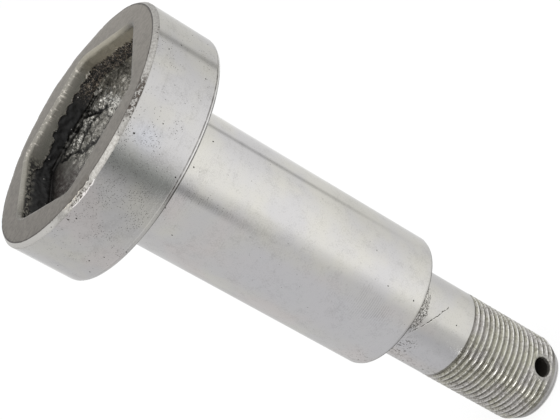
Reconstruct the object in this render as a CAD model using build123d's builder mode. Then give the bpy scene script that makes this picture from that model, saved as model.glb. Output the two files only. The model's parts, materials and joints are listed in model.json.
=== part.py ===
"""Trailer suspension pin: one forged and turned steel pin, modelled in millimetres.

The pin stands on the flat face of its threaded end, with +Z along its axis towards the head. From the bottom up it
has a chamfered one inch thread with a split pin hole, a plain neck, a shoulder, a one and a half inch shank and a
round head. A hexagonal pocket is punched into the face of the head. The thread is held at its major diameter.
"""

import os

from build123d import *

# Diameters of the turned steps
head_diameter = 68.3
shank_diameter = 38.1
neck_diameter = 25.2
thread_diameter = 25.4

# Lengths of the turned steps, along the axis
head_thickness = 19.6
shank_length = 80.0
neck_length = 20.7
thread_length = 32.7

# Edges and inner corners of the turned steps
face_bevel = 0.9
head_back_radius = 1.5
seat_root_radius = 1.0
shank_end_bevel = 1.0
shoulder_root_radius = 0.8
end_chamfer_length = 3.8
end_chamfer_depth = 1.9

# Hexagonal pocket in the head
pocket_across_flats = 48.0
pocket_depth = 8.8
pocket_draft = 1.5
pocket_corner_radius = 1.6
pocket_lip_radius = 1.1

# The pocket's floor rises to a flat band that crosses it from flat to flat and falls away to two corners
floor_rise = 0.6
floor_band_width = 20.0

# Split pin hole through the thread, its angle measured about the axis from +X
split_hole_diameter = 5.6
split_hole_height = 6.9
split_hole_angle = -63.5
split_hole_bevel = 0.5

# Radii and heights that follow from the sizes above
head_radius = head_diameter / 2
shank_radius = shank_diameter / 2
neck_radius = neck_diameter / 2
thread_radius = thread_diameter / 2
split_hole_radius = split_hole_diameter / 2
pocket_reach = pocket_across_flats / 3**0.5
shoulder_height = thread_length + neck_length
seat_height = shoulder_height + shank_length
face_height = seat_height + head_thickness


def ring_edge(solid, radius, height):
    """The round edge of a turned solid that has this radius at this height."""
    rings = solid.edges().filter_by(GeomType.CIRCLE)
    return rings.sort_by_distance((radius, 0, height)).first


# The pocket is a hexagonal prism whose flats face along Y. Its walls close in a little on the way down.
with BuildPart() as pocket:
    with BuildSketch(Plane.XY.offset(face_height)) as pocket_mouth:
        RegularPolygon(pocket_across_flats / 2, 6, major_radius=False)
        fillet(pocket_mouth.vertices(), pocket_corner_radius)
    extrude(amount=-pocket_depth, taper=pocket_draft)
    # The raised band is left standing out of the pocket's floor
    with BuildSketch(Plane.XZ) as floor_section:
        with BuildLine():
            Polyline(
                (-pocket_reach, face_height - pocket_depth),
                (-floor_band_width / 2, face_height - pocket_depth + floor_rise),
                (floor_band_width / 2, face_height - pocket_depth + floor_rise),
                (pocket_reach, face_height - pocket_depth),
                close=True,
            )
        make_face()
    extrude(amount=head_radius, both=True, mode=Mode.SUBTRACT)

with BuildPart() as suspension_pin:
    # Turned outline, from the end face up the steps to the face of the head
    with BuildSketch(Plane.XZ) as half_section:
        with BuildLine():
            Polyline(
                (0, 0),
                (thread_radius - end_chamfer_depth, 0),
                (thread_radius, end_chamfer_length),
                (thread_radius, thread_length),
                (neck_radius, thread_length),
                (neck_radius, shoulder_height),
                (shank_radius, shoulder_height),
                (shank_radius, seat_height),
                (head_radius, seat_height),
                (head_radius, face_height),
                (0, face_height),
                close=True,
            )
        make_face()
    revolve(axis=Axis.Z)
    chamfer(ring_edge(suspension_pin, head_radius, face_height), face_bevel)
    fillet(ring_edge(suspension_pin, head_radius, seat_height), head_back_radius)
    fillet(ring_edge(suspension_pin, shank_radius, seat_height), seat_root_radius)
    chamfer(ring_edge(suspension_pin, shank_radius, shoulder_height), shank_end_bevel)
    fillet(ring_edge(suspension_pin, neck_radius, shoulder_height), shoulder_root_radius)

    # Punched pocket, its mouth rounded over where the punch drew the metal in
    add(pocket.part, mode=Mode.SUBTRACT)
    face_of_head = suspension_pin.faces().filter_by(Plane.XY).sort_by(Axis.Z).last
    fillet(face_of_head.inner_wires()[0].edges(), pocket_lip_radius)

    # Split pin hole, drilled to the axis from both sides of the thread and bevelled at each mouth
    for side_angle in (split_hole_angle, split_hole_angle + 180):
        outward = Vector(1, 0, 0).rotate(Axis.Z, side_angle)
        mouth_centre = outward * thread_radius + Vector(0, 0, split_hole_height)
        with Locations(Plane(origin=mouth_centre, z_dir=outward)):
            CounterSinkHole(
                radius=split_hole_radius,
                counter_sink_radius=split_hole_radius + split_hole_bevel,
                depth=thread_radius,
                counter_sink_angle=90,
            )

suspension_pin.part.label = "suspension_pin"

os.makedirs("parts", exist_ok=True)
export_step(suspension_pin.part, "parts/suspension_pin.step")
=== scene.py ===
"""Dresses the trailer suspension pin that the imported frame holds.

The pin stands on the flat end of its thread with its head up, as the frame has it. One closed mesh stands
for the CAD solid: a turned body, a hexagonal pocket with torn walls and floor, and a threaded end with its
split pin hole. Lengths in the classes below are in millimetres, and Blender gets them in metres.
"""

import json
import logging
import math
from dataclasses import dataclass
from enum import IntEnum
from typing import Any, Callable, ClassVar, Iterable

import bmesh
import bpy
from mathutils import Matrix, Vector, noise


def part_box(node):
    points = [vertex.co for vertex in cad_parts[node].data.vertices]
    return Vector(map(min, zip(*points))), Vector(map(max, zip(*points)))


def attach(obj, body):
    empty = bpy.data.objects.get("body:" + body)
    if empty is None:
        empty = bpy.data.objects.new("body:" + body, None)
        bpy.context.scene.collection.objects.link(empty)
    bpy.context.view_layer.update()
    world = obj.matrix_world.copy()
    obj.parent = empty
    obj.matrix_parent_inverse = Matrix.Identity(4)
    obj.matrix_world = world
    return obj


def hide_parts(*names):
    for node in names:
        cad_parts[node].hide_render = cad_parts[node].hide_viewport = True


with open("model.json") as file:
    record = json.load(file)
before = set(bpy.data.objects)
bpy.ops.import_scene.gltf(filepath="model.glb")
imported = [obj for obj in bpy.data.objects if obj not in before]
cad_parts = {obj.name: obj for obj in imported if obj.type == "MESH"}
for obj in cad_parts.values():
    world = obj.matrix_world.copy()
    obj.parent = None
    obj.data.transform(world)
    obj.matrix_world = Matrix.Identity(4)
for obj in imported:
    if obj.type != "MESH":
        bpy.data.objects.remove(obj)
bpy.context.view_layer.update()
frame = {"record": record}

log = logging.getLogger("suspension_pin")

MM = 0.001
NODE = "suspension_pin"

RAYS_THAT_SEE = ("Camera", "Glossy", "Transmission")

Point2 = tuple[float, float]
Colour = tuple[float, float, float, float]
# Where a value starts to rise and is full, and for a span also where it starts to fall and ends
Ramp = tuple[float, float]
Span = tuple[float, float, float, float]


def smoothstep(low: float, high: float, value: float) -> float:
    """A smooth ramp from 0 at low to 1 at high, which runs down where low is above high."""
    t = min(max((value - low) / (high - low), 0.0), 1.0)
    return t * t * (3.0 - 2.0 * t)


def plateau(value: float, start: float, full: float, fading: float, end: float) -> float:
    """1 from full to fading, with smooth ramps up from start and down to end."""
    return smoothstep(start, full, value) * smoothstep(end, fading, value)


def camera_angle(x: float, y: float) -> float:
    """The angle about the axis in degrees, 0 on the side that faces the camera and growing towards +X."""
    return math.degrees(math.atan2(x, -y))


def arc(centre: Point2, radius: float, start: float, end: float, steps: int) -> list[Point2]:
    """Points of an outline along an arc, its angles in degrees from the outward direction towards +Z."""
    angles = (math.radians(start + (end - start) * i / steps) for i in range(steps + 1))
    return [(centre[0] + radius * math.cos(a), centre[1] + radius * math.sin(a)) for a in angles]


def spin_outline(bm: bmesh.types.BMesh, outline: Iterable[Point2], steps: int, rise: float = 0.0) -> None:
    """Spins an outline once about Z.

    Args:
        bm: The mesh that it is added to.
        outline: Its points, as radius and height.
        steps: How many pieces a turn is cut into.
        rise: How far it climbs in a turn. Without a rise the ends are merged.
    """
    verts = [bm.verts.new((radius, 0.0, height)) for radius, height in outline]
    edges = [bm.edges.new(pair) for pair in zip(verts, verts[1:])]
    bmesh.ops.spin(
        bm,
        geom=verts + edges,
        cent=(0, 0, 0),
        axis=(0, 0, 1),
        dvec=(0, 0, rise / steps),
        angle=math.tau,
        steps=steps,
        use_merge=rise == 0.0,
    )


def to_mesh(bm: bmesh.types.BMesh, name: str) -> bpy.types.Mesh:
    """Turns a bmesh into a mesh of a given name and frees it.

    Args:
        bm: The bmesh.
        name: The mesh's name.

    Returns:
        The mesh.
    """
    mesh = bpy.data.meshes.new(name)
    bm.to_mesh(mesh)
    bm.free()
    return mesh


def add_object(name: str, data: bpy.types.ID) -> bpy.types.Object:
    """Makes an object and links it to the scene.

    Args:
        name: Its name.
        data: Its mesh, camera or lamp.

    Returns:
        The object.
    """
    made = bpy.data.objects.new(name, data)
    bpy.context.scene.collection.objects.link(made)
    return made


class Zone(IntEnum):
    """The parts of the pin's skin, each with a finish of its own. The value is the material's index."""

    PLATE = 0
    FACE = 1
    RIM = 2
    POCKET = 3
    THREAD = 4


@dataclass(frozen=True)
class PinSizes:
    """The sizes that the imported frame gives, in millimetres, and the few that it doesn't."""

    head_radius: float
    face_height: float
    seat_height: float
    shank_radius: float
    shoulder_height: float
    thread_radius: float
    hole_radius: float
    hole_height: float
    hole_angle: float
    neck_relief: float = 0.1
    thread_length: float = 32.7

    @property
    def neck_radius(self) -> float:
        """The plain neck's radius, a little less than the thread's."""
        return self.thread_radius - self.neck_relief

    @classmethod
    def from_frame(cls) -> "PinSizes":
        """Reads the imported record's mounts and the node's box.

        Returns:
            The sizes in millimetres.
        """
        mounts = {mount["name"]: mount for mount in frame["record"]["mounts"]}
        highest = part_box(NODE)[1]
        axis = mounts["split_pin_hole"]["axis"]
        return cls(
            head_radius=highest[0] / MM,
            face_height=highest[2] / MM,
            seat_height=mounts["seat"]["pos_m"][2] / MM,
            shank_radius=mounts["shank"]["dims"]["r_mm"],
            shoulder_height=mounts["shoulder"]["pos_m"][2] / MM,
            thread_radius=mounts["threaded_end"]["dims"]["r_mm"],
            hole_radius=mounts["split_pin_hole"]["dims"]["r_mm"],
            hole_height=mounts["split_pin_hole"]["pos_m"][2] / MM,
            hole_angle=camera_angle(axis[0], axis[1]),
        )


@dataclass
class HexPocket:
    """The hexagonal pocket: a drafted wall that is smooth at the top and torn below, and a broken floor.

    Each vertex is marked with how torn it is, how near the tear's edge it lies on the smooth wall, how
    brightly the broken metal shines there, and how dark a crack or painted shade is there, for the pocket's
    finish.
    """

    sizes: PinSizes
    across_flats: float = 48.0
    depth: float = 8.8
    draft: float = 1.5
    corner_radius: float = 1.6
    lip_radius: float = 1.1
    floor_rise: float = 0.6
    floor_band_width: float = 20.0
    smooth_depth: float = 4.2
    scallop_length: float = 3.6
    scallop_height: float = 1.5
    set_back: float = 0.55
    roughness: float = 0.55
    wall_reach: float = 25.0
    left_tear: Span = (118.0, 132.0, 182.0, 192.0)
    left_end_tear: Span = (96.0, 116.0, 124.0, 136.0)
    right_tear: Span = (-8.0, 4.0, 60.0, 72.0)
    left_floor_edge: Ramp = (-6.0, -12.0)
    worn_corners: tuple[float, ...] = (2.6, 4.6, 2.6, 6.0, 2.2, 2.2)
    side_steps: int = 84
    torn_steps: int = 14
    smooth_steps: int = 7
    lip_steps: int = 4

    @property
    def wall_top(self) -> float:
        """The height at which the drafted wall meets the rounded lip."""
        return self.sizes.face_height - self.lip_radius

    def wall_spot(self, angle: float, height: float) -> Vector:
        """A spot of the wall in one direction, where its noise is read."""
        half = self.across_flats / 2
        return Vector((half * math.cos(angle), half * math.sin(angle), height))

    def wall_apothem(self, down: float) -> float:
        """Half the distance across the drafted walls, some way below the mouth."""
        return self.across_flats / 2 - down * math.tan(math.radians(self.draft))

    def reach(self, angle: float, apothem: float, corner: float) -> float:
        """How far a hexagon with rounded corners reaches in one direction.

        Args:
            angle: The direction in radians from +X, where a corner lies.
            apothem: Half the distance across the flats.
            corner: The radius of the corners.

        Returns:
            The distance from the axis.
        """
        sixth = math.radians(60)
        off_corner = abs((angle + sixth / 2) % sixth - sixth / 2)
        inner = apothem - corner
        tangent = sixth / 2 - math.atan(inner * math.tan(sixth / 2) / apothem)
        if off_corner >= tangent:
            return apothem / math.cos(sixth / 2 - off_corner)
        centre = inner / math.cos(sixth / 2)
        return centre * math.cos(off_corner) + math.sqrt(corner**2 - (centre * math.sin(off_corner)) ** 2)

    def floor_height(self, x: float) -> float:
        """The floor's height before it is broken.

        Args:
            x: How far the spot lies to the right of the pocket's middle.

        Returns:
            The height in millimetres.
        """
        corner = self.across_flats / math.sqrt(3)
        half_band = self.floor_band_width / 2
        fall = min(max((abs(x) - half_band) / (corner - half_band), 0.0), 1.0)
        return self.sizes.face_height - self.depth + self.floor_rise * (1.0 - fall)

    def torn_edge(self, angle: float) -> float:
        """How deep the smooth wall goes before it is torn.

        The tear has bitten rounded scallops out of the wall on the side away from the camera, and climbs
        higher on the left of it.

        Args:
            angle: The direction about the axis in radians from +X.

        Returns:
            The height of the ragged edge.
        """
        degrees = math.degrees(angle) % 360
        around = self.wall_spot(angle, 0.0)
        along = math.radians(degrees) * self.wall_reach / self.scallop_length
        along += 0.5 * noise.noise(around * 0.3)
        share = along - math.floor(along)
        size = 0.55 + 0.45 * noise.noise(Vector((math.floor(along) * 3.7, 2.3, 0.7)))
        bite = size * math.sqrt(max(0.0, 1.0 - (2.0 * share - 1.0) ** 2))
        left = plateau(degrees, *self.left_tear)
        left_end = plateau(degrees, *self.left_end_tear)
        right = plateau(degrees, *self.right_tear)
        spikes = abs(noise.noise(around * 2.6)) * (0.35 + 1.3 * right)
        ragged = (0.2 + 0.5 * left) * noise.noise(around * 0.8) + spikes
        bitten = self.scallop_height * bite * (1.0 - 0.6 * right)
        depth = self.smooth_depth - bitten + ragged - 1.3 * left + 1.3 * left_end - 0.5 * right
        return self.sizes.face_height - depth

    def build(self, bm: bmesh.types.BMesh) -> list[bmesh.types.BMEdge]:
        """Adds the pocket's floor, walls and lip.

        Args:
            bm: The mesh that it is added to, in millimetres.

        Returns:
            The edges round the mouth, in the plane of the head's face.
        """
        torn = bm.verts.layers.float.new("torn")
        shine = bm.verts.layers.float.new("shine")
        crack = bm.verts.layers.float.new("crack")
        edge = bm.verts.layers.float.new("edge")
        floor_apothem = self.wall_apothem(self.depth) + self.set_back
        made = bmesh.ops.create_circle(bm, cap_ends=True, cap_tris=True, segments=6, radius=1.0)
        bmesh.ops.rotate(bm, verts=made["verts"], matrix=Matrix.Rotation(math.radians(30), 3, "Z"))
        bmesh.ops.subdivide_edges(bm, edges=bm.edges[:], cuts=self.side_steps - 1, use_grid_fill=True)
        broken = BrokenFloor()
        for vert in bm.verts:
            angle = math.atan2(vert.co.y, vert.co.x)
            share = vert.co.xy.length / self.reach(angle, math.cos(math.radians(30)), 0.0)
            radius = share * self.reach(angle, floor_apothem, self.corner_radius)
            x, y = radius * math.cos(angle), radius * math.sin(angle)
            rise, vert[shine], dark = broken.at(x, y)
            # Painted shade on the floor along its left edge, kept in the crack mark.
            edge_shade = 0.9 * smoothstep(0.86, 0.99, share) * smoothstep(*self.left_floor_edge, x)
            vert[crack] = max(dark, edge_shade)
            vert.co = (x, y, self.floor_height(x) + rise * smoothstep(1.0, 0.97, share))
            vert[torn] = 1.0
        loop = [item for item in bm.edges if item.is_boundary]
        for step in range(1, self.torn_steps + 1):
            share = step / self.torn_steps
            loop = self.extrude_loop(bm, loop, lambda angle: self.torn_point(angle, share), {torn: 1.0})
        for step in range(self.smooth_steps + 1):
            share = step / self.smooth_steps
            marks = {torn: 0.0, edge: 1.0 - share}
            loop = self.extrude_loop(bm, loop, lambda angle: self.smooth_point(angle, share), marks)
        for step in range(1, self.lip_steps + 1):
            turn = math.radians(90 * step / self.lip_steps)
            marks = {torn: 0.0, edge: 0.0}
            loop = self.extrude_loop(bm, loop, lambda angle: self.lip_point(angle, turn), marks)
        return loop

    def torn_point(self, angle: float, share: float) -> tuple[float, float]:
        """A point of the torn wall.

        Args:
            angle: The direction about the axis in radians.
            share: How far up it lies from the floor to the ragged edge.

        Returns:
            Its radius and height.
        """
        low = self.floor_height(self.across_flats / 2 * math.cos(angle))
        height = low + (self.torn_edge(angle) - low) * share
        rough = noise.turbulence(self.wall_spot(angle, height) * 0.7, 4, False) - 0.5
        back = self.set_back + self.roughness * rough * smoothstep(0.0, 0.15, share)
        apothem = self.wall_apothem(self.sizes.face_height - height)
        return self.reach(angle, apothem + back, self.corner_radius), height

    def smooth_point(self, angle: float, share: float) -> tuple[float, float]:
        """A point of the smooth wall.

        Args:
            angle: The direction about the axis in radians.
            share: How far up it lies from the ragged edge to the lip.

        Returns:
            Its radius and height.
        """
        height = self.torn_edge(angle) + (self.wall_top - self.torn_edge(angle)) * share
        spot = self.wall_spot(angle, height * 0.3)
        wave = 0.10 * noise.noise(spot * 0.35) + 0.05 * noise.noise(spot * 1.3)
        apothem = self.wall_apothem(self.wall_top - height)
        return self.reach(angle, apothem, self.worn_radius(angle, share)) + wave, height

    def lip_point(self, angle: float, turn: float) -> tuple[float, float]:
        """A point of the rounded lip.

        Args:
            angle: The direction about the axis in radians.
            turn: How far the lip has turned there, from 0 to a right angle.

        Returns:
            Its radius and height.
        """
        spread = self.lip_radius * (1 - math.cos(turn))
        spot = self.wall_spot(angle, 0.0)
        wave = 0.10 * noise.noise(spot * 0.35) + 0.03 * noise.noise(spot * 1.1)
        radius = self.reach(angle, self.across_flats / 2 + spread, self.worn_radius(angle, 1.0) + spread)
        return radius + wave, self.wall_top + self.lip_radius * math.sin(turn)

    def worn_radius(self, angle: float, share: float) -> float:
        """The radius of the nearest corner, worn rounder from the torn edge (0) up to the lip (1)."""
        nearest = round(math.degrees(angle) / 60) % 6
        return self.corner_radius + self.worn_corners[nearest] * share

    def extrude_loop(self, bm: bmesh.types.BMesh, loop: list, place: Callable, marks: dict) -> list:
        """Extrudes a loop of edges and moves the new one.

        Args:
            bm: The mesh.
            loop: The edges to extrude.
            place: Gives a vertex's new radius and height from its direction in radians.
            marks: The value of each vertex layer on the new loop.

        Returns:
            The new edges.
        """
        made = bmesh.ops.extrude_edge_only(bm, edges=loop)["geom"]
        for vert in (item for item in made if isinstance(item, bmesh.types.BMVert)):
            angle = math.atan2(vert.co.y, vert.co.x)
            radius, height = place(angle)
            vert.co = (radius * math.cos(angle), radius * math.sin(angle), height)
            for layer, value in marks.items():
                vert[layer] = value
        return [item for item in made if isinstance(item, bmesh.types.BMEdge) and item.is_boundary]


@dataclass(frozen=True)
class BrokenFloor:
    """The pocket floor's relief where the slug was torn out: plates, crumbs, cracks, a crevice with painted
    shadow.
    """

    cracks: tuple[tuple[Point2, ...], ...] = (
        ((-11, 21), (-9.5, 18), (-8, 17.5), (-6.5, 14), (-6, 9), (-3.5, 7), (-0.5, 2)),
        ((-6.4, 13.4), (-3.6, 14.8), (1.4, 15.3), (4.2, 14.6), (7.4, 11.8)),
        ((1.8, 23), (3.4, 19), (5, 15), (7, 11)),
    )
    crack_width: float = 0.75
    foreshortening: float = 0.35
    crumb_size: float = 2.0
    plate_size: float = 4.8
    band: Span = (-10.4, -7.6, 9.8, 12.6)
    right_corner: Span = (9.5, 12.5, 19.0, 23.0)
    crumbled_far: Ramp = (13.0, 17.0)
    crumbled_right: Ramp = (5.0, 7.5)
    crevice_far: Ramp = (20.9, 22.3)
    crevice_right: Ramp = (8.5, 3.5)
    tilt_seed: int = 1

    def __post_init__(self) -> None:
        """Seeds the noise that tilts the facets, so that every run breaks the floor in the same way."""
        noise.seed_set(self.tilt_seed)

    def crack_depth(self, spot: Vector) -> float:
        """How far inside one of the cracks a spot lies.

        Args:
            spot: Where, in millimetres. A crack gapes wider the more it runs across the camera's view.

        Returns:
            0 outside the cracks, up to 1 in the middle of one.
        """
        nearest = 1e9
        squashed = Matrix.Diagonal((1.0, self.foreshortening))
        spot = squashed @ spot
        for line in self.cracks:
            for start, end in zip(line, line[1:]):
                a, b = squashed @ Vector(start), squashed @ Vector(end)
                share = min(max((spot - a).dot(b - a) / (b - a).length_squared, 0.0), 1.0)
                nearest = min(nearest, (spot - a.lerp(b, share)).length)
        return smoothstep(self.crack_width, self.crack_width * 0.25, nearest)

    def facets(self, spot: Vector, size: float) -> tuple[float, float]:
        """Broken facets, each tilted its own way.

        Args:
            spot: Where, in millimetres.
            size: How large the facets are.

        Returns:
            The height as a share of the size, and how close the spot is to a facet's edge, from 0 to 1.
        """
        distances, centres = noise.voronoi(spot / size)
        tilt = noise.noise_vector(centres[0] * 5.3)
        away = spot / size - centres[0]
        return away.x * tilt.x + away.y * tilt.y, smoothstep(0.14, 0.0, distances[1] - distances[0])

    def at(self, x: float, y: float) -> tuple[float, float, float]:
        """The floor's relief at a spot.

        Args:
            x: The spot's place in millimetres.
            y: The same, growing away from the camera.

        Returns:
            The rise in millimetres, how brightly the metal shines, and how dark a crack or painted shadow is
            there.
        """
        wander = Vector((noise.noise(Vector((x, y, 3.1)) * 0.6), noise.noise(Vector((x, y, 9.4)) * 0.6)))
        crack = self.crack_depth(Vector((x, y)) + wander * 0.7)
        edge = x + wander.x * 3.5
        band = plateau(edge, *self.band)
        corner = plateau(edge, *self.right_corner)
        crumbly = max(smoothstep(*self.crumbled_far, y), smoothstep(*self.crumbled_right, x))
        crumbly = band * min(1.0, crumbly + 0.3)
        crumb, crumb_edge = self.facets(Vector((x, y * 0.8, 0.0)), self.crumb_size)
        plate, plate_edge = self.facets(Vector((x, y, 5.0)), self.plate_size)
        swell = noise.noise(Vector((x, y, 0.0)) * 0.35)
        fine, _ = self.facets(Vector((x, y, 9.0)), self.crumb_size * 0.5)
        rise = crumbly * (1.1 * crumb + 0.35 * fine - 0.15 * crumb_edge)
        rise += band * (0.6 * plate - 0.12 * plate_edge) + 0.35 * corner * fine
        rise += 0.18 * swell + 0.05 * noise.noise(Vector((x, y * 2.0, 0.0)) * 1.7) - 0.55 * crack
        shine = max(band * (0.35 + 0.65 * crumbly), 0.40 * corner)
        far = y + wander.y * 1.6 - 0.105 * abs(x + 3.0)
        # The crevice by the far wall is sunk and painted dark as its shadow.
        crevice = smoothstep(*self.crevice_far, far) * smoothstep(*self.crevice_right, x)
        rise = rise * (1.0 - crevice) - 0.5 * crevice
        return rise, shine, max(crack, 0.6 * crumbly * crumb_edge, 0.85 * crevice)


@dataclass
class TurnedBody:
    """The lathe's work from the rim of the head's face down to where the thread starts."""

    sizes: PinSizes
    face_bevel: float = 0.9
    head_back_radius: float = 1.5
    seat_root_radius: float = 1.0
    shank_end_bevel: float = 1.0
    shoulder_root_radius: float = 0.8
    thread_gap: float = 0.7
    spin_steps: int = 480
    arc_steps: int = 4
    support: float = 0.12
    face_edge: tuple[float, ...] = (2.4, 1.6, 1.0, 0.55, 0.2)

    @property
    def rim_radius(self) -> float:
        """The radius at which the face ends and its bevel starts."""
        return self.sizes.head_radius - self.face_bevel

    @property
    def inner_radius(self) -> float:
        """The radius at which the turned part of the face starts."""
        return self.rim_radius - self.face_edge[0]

    @property
    def lowest(self) -> float:
        """The height at which the neck stops, a little above the thread."""
        return self.sizes.thread_length + self.thread_gap

    def outline(self) -> list[Point2]:
        """The turned outline.

        Returns:
            Its points from the rim of the face down to the thread, as radius and height.
        """
        s, n = self.sizes, self.arc_steps
        bevel, back, root = self.face_bevel, self.head_back_radius, self.seat_root_radius
        end, foot, support = self.shank_end_bevel, self.shoulder_root_radius, self.support
        return [
            *((self.rim_radius - inset, s.face_height) for inset in self.face_edge),
            (self.rim_radius, s.face_height - bevel * 0.06),
            (self.rim_radius + bevel * 0.3, s.face_height - bevel * 0.3),
            (self.rim_radius + bevel * 0.65, s.face_height - bevel * 0.68),
            (s.head_radius - bevel * 0.04, s.face_height - bevel * 1.1),
            (s.head_radius, s.face_height - bevel * 1.5),
            (s.head_radius, s.face_height - bevel * 1.7),
            (s.head_radius, s.seat_height + back + support),
            *arc((s.head_radius - back, s.seat_height + back), back, 0, -90, n),
            *arc((s.shank_radius + root, s.seat_height - root), root, 90, 180, n),
            (s.shank_radius, s.seat_height - root - support),
            (s.shank_radius, (s.seat_height + s.shoulder_height) / 2),
            (s.shank_radius, s.shoulder_height + end + support),
            (s.shank_radius, s.shoulder_height + end),
            (s.shank_radius - end * 0.25, s.shoulder_height + end * 0.3),
            (s.shank_radius - end, s.shoulder_height),
            *arc((s.neck_radius + foot, s.shoulder_height - foot), foot, 90, 180, n),
            (s.neck_radius, s.shoulder_height - foot - support),
            (s.neck_radius, self.lowest),
        ]

    def build(self) -> bpy.types.Mesh:
        """Spins the outline.

        Returns:
            A mesh in millimetres, open at its rim and at the thread.
        """
        bm = bmesh.new()
        spin_outline(bm, self.outline(), self.spin_steps)
        wear = RimWear(self.sizes)
        for vert in bm.verts:
            vert.co.z -= wear.drop(vert.co)
        return to_mesh(bm, "turned_body")


@dataclass(frozen=True)
class RimWear:
    """The knocks round the rim of the head's face. Angles are about the axis, from the camera's side."""

    sizes: PinSizes
    reach: float = 3.3
    skirt: float = 2.2
    edge: float = 0.9
    battered: Span = (-34.5, -31.5, -16.5, -13.5)
    worse: Ramp = (-38.0, -20.0)
    far_side: Ramp = (105.0, 125.0)

    def drop(self, spot: Vector) -> float:
        """How far wear has taken a spot of the turned body down.

        Args:
            spot: Its place in millimetres.

        Returns:
            The drop in millimetres, never below 0.
        """
        outer = smoothstep(self.reach, self.edge, self.sizes.head_radius - spot.xy.length)
        upper = smoothstep(self.skirt, self.edge, self.sizes.face_height - spot.z)
        if outer * upper == 0:
            return 0.0
        angle = camera_angle(spot.x, spot.y)
        far = smoothstep(*self.far_side, abs(angle))
        around = Vector((math.cos(math.radians(angle)), math.sin(math.radians(angle)), 0.0))
        wave = 0.5 + 0.5 * noise.noise(around * 4.5)
        chips = max(0.0, noise.noise(spot * 0.9) - 0.15)
        dents = 0.36 + 0.4 * noise.noise(spot * 0.8) + 0.35 * noise.noise(spot * 2.1)
        dents *= plateau(angle, *self.battered) * smoothstep(*self.worse, angle)
        return upper * outer * max(0.0, 0.55 * far * wave + 0.15 * chips + dents)


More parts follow.
